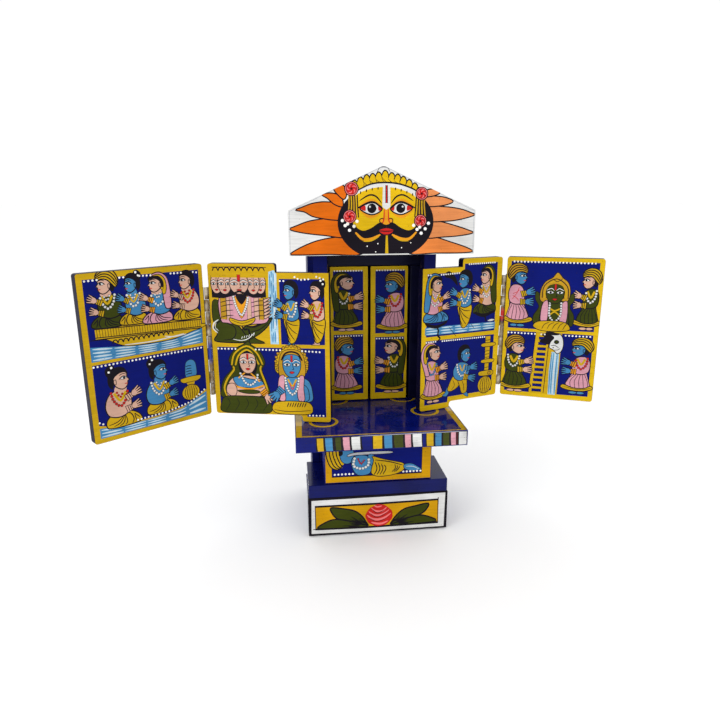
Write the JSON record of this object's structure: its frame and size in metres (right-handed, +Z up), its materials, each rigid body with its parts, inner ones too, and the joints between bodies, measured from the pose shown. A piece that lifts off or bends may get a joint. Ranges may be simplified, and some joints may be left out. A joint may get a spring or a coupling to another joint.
{
  "type": "folding shrine box",
  "caption": "Small painted wooden shrine with hinged picture leaves that fold shut over inner doors, on a stepped base with an offerings drawer.",
  "frame": {"origin": "on the floor at the middle of the base's underside, half way from the drawer's face to the back board", "axes": "+X to the shrine's right as seen from the front, +Y to the back, +Z up; the open front faces -Y"},
  "size_m": [0.4182, 0.1262, 0.3063],
  "materials": {
    "blue_enamel": "glossy hand brushed enamel, deep blue",
    "picture_enamel": "glossy hand painted pictures on blue with yellow borders",
    "white_enamel": "glossy white enamel with a painted sun face and rays",
    "bare_wood": "plain planed wood, unpainted",
    "hinge_metal": "dull steel strip with smeared paint"
  },
  "bodies": {
    "shrine": {"base_box": "blue_enamel", "base_slab": "blue_enamel", "neck_block": "blue_enamel", "shelf": "blue_enamel", "column_side_left": "blue_enamel", "column_side_right": "blue_enamel", "door_jamb_left": "blue_enamel", "door_jamb_right": "blue_enamel", "back_board": "blue_enamel", "low_front_board": "blue_enamel", "lintel": "blue_enamel", "roof_board": "blue_enamel", "pediment": "white_enamel"},
    "left_inner_leaf": {"left_inner_leaf": "picture_enamel", "left_hinge_inner_half": "hinge_metal"},
    "left_outer_leaf": {"left_outer_leaf": "picture_enamel", "left_hinge_outer_half": "hinge_metal"},
    "right_inner_leaf": {"right_inner_leaf": "picture_enamel", "right_hinge_inner_half": "hinge_metal"},
    "right_outer_leaf": {"right_outer_leaf": "picture_enamel", "right_hinge_outer_half": "hinge_metal"},
    "inner_door_left": {"inner_door_left": "picture_enamel"},
    "inner_door_right": {"inner_door_right": "picture_enamel"},
    "drawer": {"drawer_front": "picture_enamel", "drawer_tray": "bare_wood"}
  },
  "joints": [
    {"name": "left_swing", "type": "hinge", "parent": "shrine", "child": "left_inner_leaf", "pos_m": [-0.04575, -0.0348, 0.165], "axis": [0, 0, 1], "range_deg": [-50, 191.86]},
    {"name": "left_fold", "type": "hinge", "parent": "left_inner_leaf", "child": "left_outer_leaf", "pos_m": [-0.13763, -0.01883, 0.165], "axis": [0, 0, 1], "range_deg": [-36, 130.51]},
    {"name": "right_swing", "type": "hinge", "parent": "shrine", "child": "right_inner_leaf", "pos_m": [0.0452, -0.0182, 0.165], "axis": [0, 0, -1], "range_deg": [-30, 197.37]},
    {"name": "right_fold", "type": "hinge", "parent": "right_inner_leaf", "child": "right_outer_leaf", "pos_m": [0.11832, 0.00127, 0.165], "axis": [0, 0, -1], "range_deg": [-23, 138.55]},
    {"name": "inner_door_left_swing", "type": "hinge", "parent": "shrine", "child": "inner_door_left", "pos_m": [-0.032, 0.02025, 0.165], "axis": [0, 0, 1], "range_deg": [-90, 0]},
    {"name": "inner_door_right_swing", "type": "hinge", "parent": "shrine", "child": "inner_door_right", "pos_m": [0.032, 0.02025, 0.165], "axis": [0, 0, -1], "range_deg": [-90, 0]},
    {"name": "drawer_slide", "type": "slide", "parent": "shrine", "child": "drawer", "axis": [0, -1, 0], "range_m": [0, 0.03]}
  ],
  "couplings": [
    {"joint": "left_fold", "follows": "left_swing", "ratio": 0.68018},
    {"joint": "right_fold", "follows": "right_swing", "ratio": 0.70193}
  ]
}
